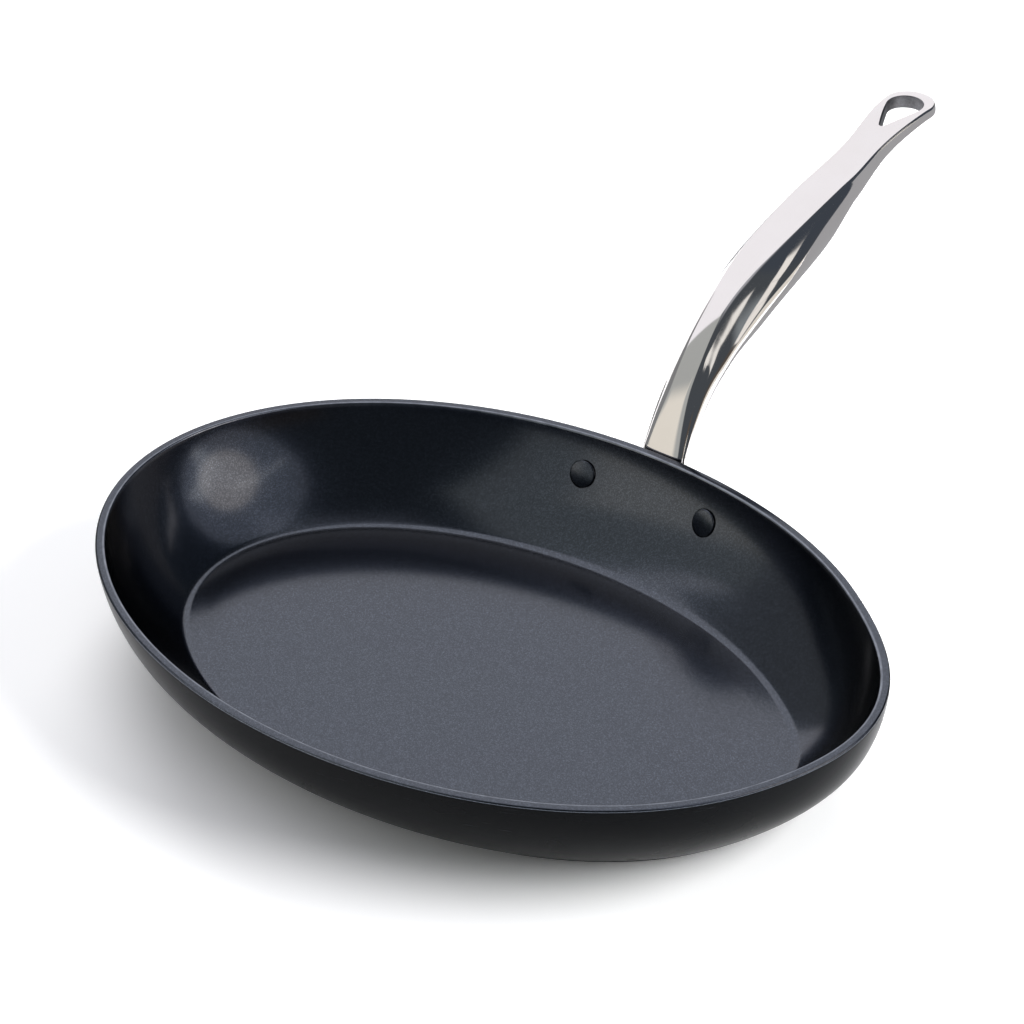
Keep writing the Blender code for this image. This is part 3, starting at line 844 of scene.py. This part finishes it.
# Studio that the pan mirrors: cards as patches of sky. Corners are azimuth
# and elevation in degrees, anticlockwise as seen from outside the sky
CARDS = (
    {"name": "ceiling", "light": (0.45, 0.46, 0.5), "soft": 8.0,
     "corners": ((-82, 66), (3, 52), (97, 65), (190, 58))},
    {"name": "grey_door_left", "light": (0.36, 0.37, 0.38), "soft": 3.0,
     "corners": ((172, -8), (214, -8), (222, 38), (194, 38))},
    {"name": "grey_wall", "light": (0.5, 0.52, 0.51), "soft": 3.0,
     "corners": ((209, -8), (262, -8), (273, 45), (233, 63), (209, 60))},
    {"name": "beige_curtain", "light": (0.98, 0.94, 0.85), "soft": 4.0,
     "corners": ((201, -9), (252, -8), (248, 32), (235, 23))},
    {"name": "white_backdrop", "light": (1.18, 1.17, 1.22), "soft": 0.6,
     "corners": (
         (100, -8), (160, -8), (188, -7), (216, 28), (221, 38), (219, 62), (180, 89), (100, 78),
     )},
    {"name": "dark_flag", "light": (0.06, 0.072, 0.092), "soft": 3.0,
     "corners": ((30, 16), (42, -4), (81, 0), (83, 52), (15, 50), (14, 36))},
    {"name": "grey_door", "light": (0.27, 0.3, 0.32), "soft": 4.0,
     "corners": ((-1, 28), (9, 2), (20, 14), (2, 30))},
    {"name": "brown_cupboard", "light": (0.11, 0.092, 0.078), "soft": 3.0,
     "corners": ((-42, -6), (14, -5), (8, 12), (-45, 6))},
    {"name": "upper_slit_left", "light": (1.09, 1.07, 1.02), "soft": 0.5,
     "corners": ((-26, 26), (-22, 28), (-16.5, 31), (-15.5, 33.5), (-26, 29))},
    {"name": "upper_slit_middle", "light": (1.09, 1.07, 1.02), "soft": 0.5,
     "corners": ((-16.5, 31), (-8.3, 31.8), (-4.3, 34.9), (-15.5, 33.5))},
    {"name": "upper_slit_right", "light": (1.09, 1.07, 1.02), "soft": 0.5,
     "corners": ((-8.3, 31.8), (3.2, 30.9), (7.2, 32.7), (-4.3, 34.9))},
    {"name": "lower_slit_top", "light": (1.08, 1.05, 1.0), "soft": 0.5,
     "corners": ((22.6, 17.3), (33.1, 18.9), (28.4, 26.7), (17.2, 23.9))},
    {"name": "lower_slit_side", "light": (1.08, 1.05, 1.0), "soft": 0.5,
     "corners": ((17.5, 10.6), (22.6, 17.3), (17.2, 23.9), (10.3, 17.8))},
    {"name": "lower_slit_foot", "light": (1.08, 1.05, 1.0), "soft": 0.5,
     "corners": ((18.7, 3.4), (17.5, 10.6), (10.3, 17.8), (6.0, 12.0), (14.0, 2.0))},
)


def sky_point(azimuth, elevation):
    """Unit vector towards an azimuth and elevation given in degrees."""
    turn, rise = math.radians(azimuth), math.radians(elevation)
    level = math.cos(rise)
    return Vector((level * math.cos(turn), level * math.sin(turn), math.sin(rise)))


def add_card(tree, direction, light, card):
    """Lay one soft-edged card over the studio's light."""
    corners = [sky_point(*corner) for corner in card["corners"]]
    inside = None
    for start, end in zip(corners, corners[1:] + corners[:1]):
        edge = {"operation": "DOT_PRODUCT", 0: direction, 1: start.cross(end).normalized()}
        reach = node(tree, "ShaderNodeVectorMath", edge).outputs["Value"]
        inside = reach if inside is None else maths(tree, "MINIMUM", inside, reach)
    soft = math.sin(math.radians(card["soft"]))
    mask = node(tree, "ShaderNodeMapRange", {
        "label": card["name"], "interpolation_type": "SMOOTHSTEP",
        "From Min": -soft, "From Max": soft, "Value": inside,
    }).outputs[0]
    return blend(tree, mask, light, card["light"])


def build_surroundings():
    """Studio seen by reflections and lighting the pan; the camera sees white."""
    world = bpy.data.worlds.new("studio")
    bpy.context.scene.world = world
    world.use_nodes = True
    tree = world.node_tree
    tree.nodes.clear()
    direction = node(tree, "ShaderNodeTexCoord").outputs["Generated"]
    height = node(tree, "ShaderNodeSeparateXYZ", {0: direction}).outputs["Z"]
    horizon = {"From Min": 0.0, "From Max": HORIZON, "Value": height}
    below = node(tree, "ShaderNodeMapRange", horizon).outputs[0]
    light = blend(tree, below, ROOM_LIGHT, WHITE)
    for card in CARDS:
        light = add_card(tree, direction, light, card)
    seen = node(tree, "ShaderNodeLightPath").outputs["Is Camera Ray"]
    shown = blend(tree, seen, light, WHITE)
    background = node(tree, "ShaderNodeBackground", {"Color": shown})
    node(tree, "ShaderNodeOutputWorld", {"Surface": background.outputs[0]})


# Softboxes: name, azimuth and elevation, angular radius, all in degrees, and
# power in watts
LAMP_DISTANCE = 2.2
LAMPS = (
    ("right_softbox", (29.0, 26.0), 22.0, 78.0),
    ("left_softbox", (134.0, 26.0), 22.0, 29.0),
)

# Window glow on the wall: name and colour, then as for the softboxes
GLOW_TARGET = (-0.155, 0.03, 0.022)
GLOW_DISTANCE = 0.6
GLOWS = (
    ("window_core", "#ffecd6", (6.0, 27.0), 15.0, 0.34),
    ("window_halo", "#f1f3ff", (5.0, 32.0), 30.0, 0.6),
)

# Sheets that only mirrors show, glowing with fixed colours: painted light and shade around the pan;
# name, colour and corners in metres
GLOW_SHEETS = (
    # Painted shade: the far floor behind the handle, grey in reflections
    ("painted_shade_far_floor", "#b4b5b8", ((0.02, 0.2, 0.004), (5.0, 4.53, 0.004), (-6.0, 4.53, 0.004))),
    # Painted light: the floor to the right, cream in reflections
    ("cream_floor_glow", "#fbf6ec",
     ((0.28, 0.15, 0.004), (5.0, -0.6, 0.004), (5.0, 4.5, 0.004), (0.28, 0.42, 0.004))),
    # A dim grey glow standing left of the pan
    ("left_grey_glow", "#8e9092",
     ((-0.5, -0.25, 0.0), (-0.5, 0.174, 0.0), (-0.5, 0.174, 0.55), (-0.5, -0.25, 0.55))),
)

FLOOR_RADIUS = 6.0
FLOOR_SEGMENTS = 96
# The floor's colour for the light that it gives back, then the colour and the
# faint glow that it has where it is seen
FLOOR_WHITE = 0.9
FLOOR_SEEN_WHITE = 1.2
FLOOR_GLOW = 0.03


def build_floor():
    """Wide white floor that keeps the pan's shadow; where it is seen, directly
    or in a reflection, its colour is whiter than the light that it gives back."""
    bpy.ops.mesh.primitive_circle_add(
        vertices=FLOOR_SEGMENTS, radius=FLOOR_RADIUS, fill_type="NGON",
    )
    floor = bpy.context.object
    floor.name = "studio_floor"
    material, tree = new_material("white_studio_floor")
    path = node(tree, "ShaderNodeLightPath").outputs
    seen = maths(tree, "MAXIMUM", path["Is Camera Ray"], path["Is Glossy Ray"])
    seen = maths(tree, "MAXIMUM", seen, path["Is Transmission Ray"])
    white = ranged(tree, seen, FLOOR_WHITE, FLOOR_SEEN_WHITE)
    diffuse = node(tree, "ShaderNodeBsdfDiffuse", {"Color": white})
    glow = maths(tree, "MULTIPLY", seen, FLOOR_GLOW)
    emission = node(tree, "ShaderNodeEmission", {"Strength": glow})
    both = {0: diffuse.outputs[0], 1: emission.outputs[0]}
    surface(tree, node(tree, "ShaderNodeAddShader", both))
    floor.data.materials.append(material)


def disk_lamp(name, target, distance, direction, radius, power):
    """Round area lamp that faces a target, its radius given as an angle from there."""
    data = bpy.data.lights.new(name, "AREA")
    data.shape = "DISK"
    data.size = 2.0 * distance * math.tan(math.radians(radius))
    data.energy = power
    lamp = bpy.data.objects.new(name, data)
    bpy.context.scene.collection.objects.link(lamp)
    lamp.location = target + distance * sky_point(*direction)
    lamp.rotation_euler = (target - lamp.location).to_track_quat("-Z", "Y").to_euler()
    return lamp


def build_lamps():
    """Two large softboxes behind the pan, which throw its shadow forwards."""
    for name, direction, radius, power in LAMPS:
        lamp = disk_lamp(name, Vector((0.0, 0.0, 0.0)), LAMP_DISTANCE, direction, radius, power)
        lamp.visible_glossy = False


def build_highlight(bowl):
    """Window glow that only the bowl's wall catches."""
    receivers = bpy.data.collections.new("glow_receivers")
    receivers.objects.link(bowl)
    for name, code, direction, radius, power in GLOWS:
        lamp = disk_lamp(name, Vector(GLOW_TARGET), GLOW_DISTANCE, direction, radius, power)
        lamp.data.color = linear(code)[:3]
        lamp.visible_camera = False
        lamp.light_linking.receiver_collection = receivers


def build_glow_sheets():
    """Glowing sheets beside the pan that only its reflections show: painted light and shade."""
    for name, code, corners in GLOW_SHEETS:
        mesh = bpy.data.meshes.new(name)
        mesh.from_pydata(corners, [], [range(len(corners))])
        glow_sheet = bpy.data.objects.new(name, mesh)
        bpy.context.scene.collection.objects.link(glow_sheet)
        material, tree = new_material(name)
        # The sheet's colour is its own glow, whatever the lamps do: painted light
        surface(tree, node(tree, "ShaderNodeEmission", {"Color": linear(code)}))
        mesh.materials.append(material)
        glow_sheet.visible_camera = False
        glow_sheet.visible_diffuse = False
        glow_sheet.visible_shadow = False


SENSOR_WIDTH = 36.0


def build_camera(settings):
    """Camera of the photograph's view."""
    data = bpy.data.cameras.new("camera")
    data.lens = settings.focal_length
    data.sensor_width = SENSOR_WIDTH
    camera = bpy.data.objects.new("camera", data)
    bpy.context.scene.collection.objects.link(camera)
    place = Vector(settings.camera_place)
    aim = (Vector(settings.camera_target) - place).to_track_quat("-Z", "Y").to_matrix().to_4x4()
    roll = Matrix.Rotation(settings.camera_roll, 4, "Z")
    camera.matrix_world = Matrix.Translation(place) @ aim @ roll
    bpy.context.scene.camera = camera


class PAN_OT_bowl(Operator):
    """Build the coated bowl and the plate under it."""
    bl_idname = "fish_pan.bowl"
    bl_label = "Bowl and base plate"

    def execute(self, context):
        plan = Plan(context.scene)
        build_bowl(plan, ceramic_coating(plan.bowl), satin_lacquer(plan.bowl))
        build_plate(plan, brushed_steel())
        return {"FINISHED"}


class PAN_OT_handle(Operator):
    """Build the cast handle with its bracket and hanging hole."""
    bl_idname = "fish_pan.handle"
    bl_label = "Handle"

    def execute(self, context):
        plan = Plan(context.scene)
        build_handle(plan, polished_steel(plan.grip), rough_cast_steel(plan.grip))
        return {"FINISHED"}


class PAN_OT_rivets(Operator):
    """Build the two coated rivets."""
    bl_idname = "fish_pan.rivets"
    bl_label = "Rivets"

    def execute(self, context):
        plan = Plan(context.scene)
        coating = bpy.data.materials["sprayed_ceramic_non_stick"]
        build_rivet(plan, "rivet_left", -1.0, coating)
        build_rivet(plan, "rivet_right", 1.0, coating)
        return {"FINISHED"}


class PAN_OT_stage(Operator):
    """Set the surroundings, the floor, the lamps, the glowing sheets of painted light and shade,
    and the camera.
    """
    bl_idname = "fish_pan.stage"
    bl_label = "Stage"

    def execute(self, context):
        build_surroundings()
        build_floor()
        build_lamps()
        build_highlight(bpy.data.objects["coated_bowl"])
        build_glow_sheets()
        build_camera(context.scene.pan_stage)
        context.scene.view_settings.view_transform = "Standard"
        return {"FINISHED"}


class PAN_PT_steps(Panel):
    """List the steps in the sidebar."""
    bl_label = "Fish pan"
    bl_space_type = "VIEW_3D"
    bl_region_type = "UI"
    bl_category = "Fish pan"

    def draw(self, context):
        for step in STEPS:
            self.layout.operator(step.bl_idname)


STEPS = (PAN_OT_bowl, PAN_OT_handle, PAN_OT_rivets, PAN_OT_stage)
GROUPS = {
    "pan_bowl": BowlSettings,
    "pan_rivets": RivetSettings,
    "pan_grip": GripSettings,
    "pan_stage": StageSettings,
}


def register():
    for group in GROUPS.values():
        bpy.utils.register_class(group)
    for name, group in GROUPS.items():
        setattr(bpy.types.Scene, name, PointerProperty(type=group))
    for step in STEPS:
        bpy.utils.register_class(step)
    bpy.utils.register_class(PAN_PT_steps)


def unregister():
    bpy.utils.unregister_class(PAN_PT_steps)
    for step in STEPS:
        bpy.utils.unregister_class(step)
    for name, group in GROUPS.items():
        delattr(bpy.types.Scene, name)
        bpy.utils.unregister_class(group)


def main():
    register()
    bpy.ops.fish_pan.bowl()
    bpy.ops.fish_pan.handle()
    bpy.ops.fish_pan.rivets()
    bpy.ops.fish_pan.stage()


if __name__ == "__main__":
    main()
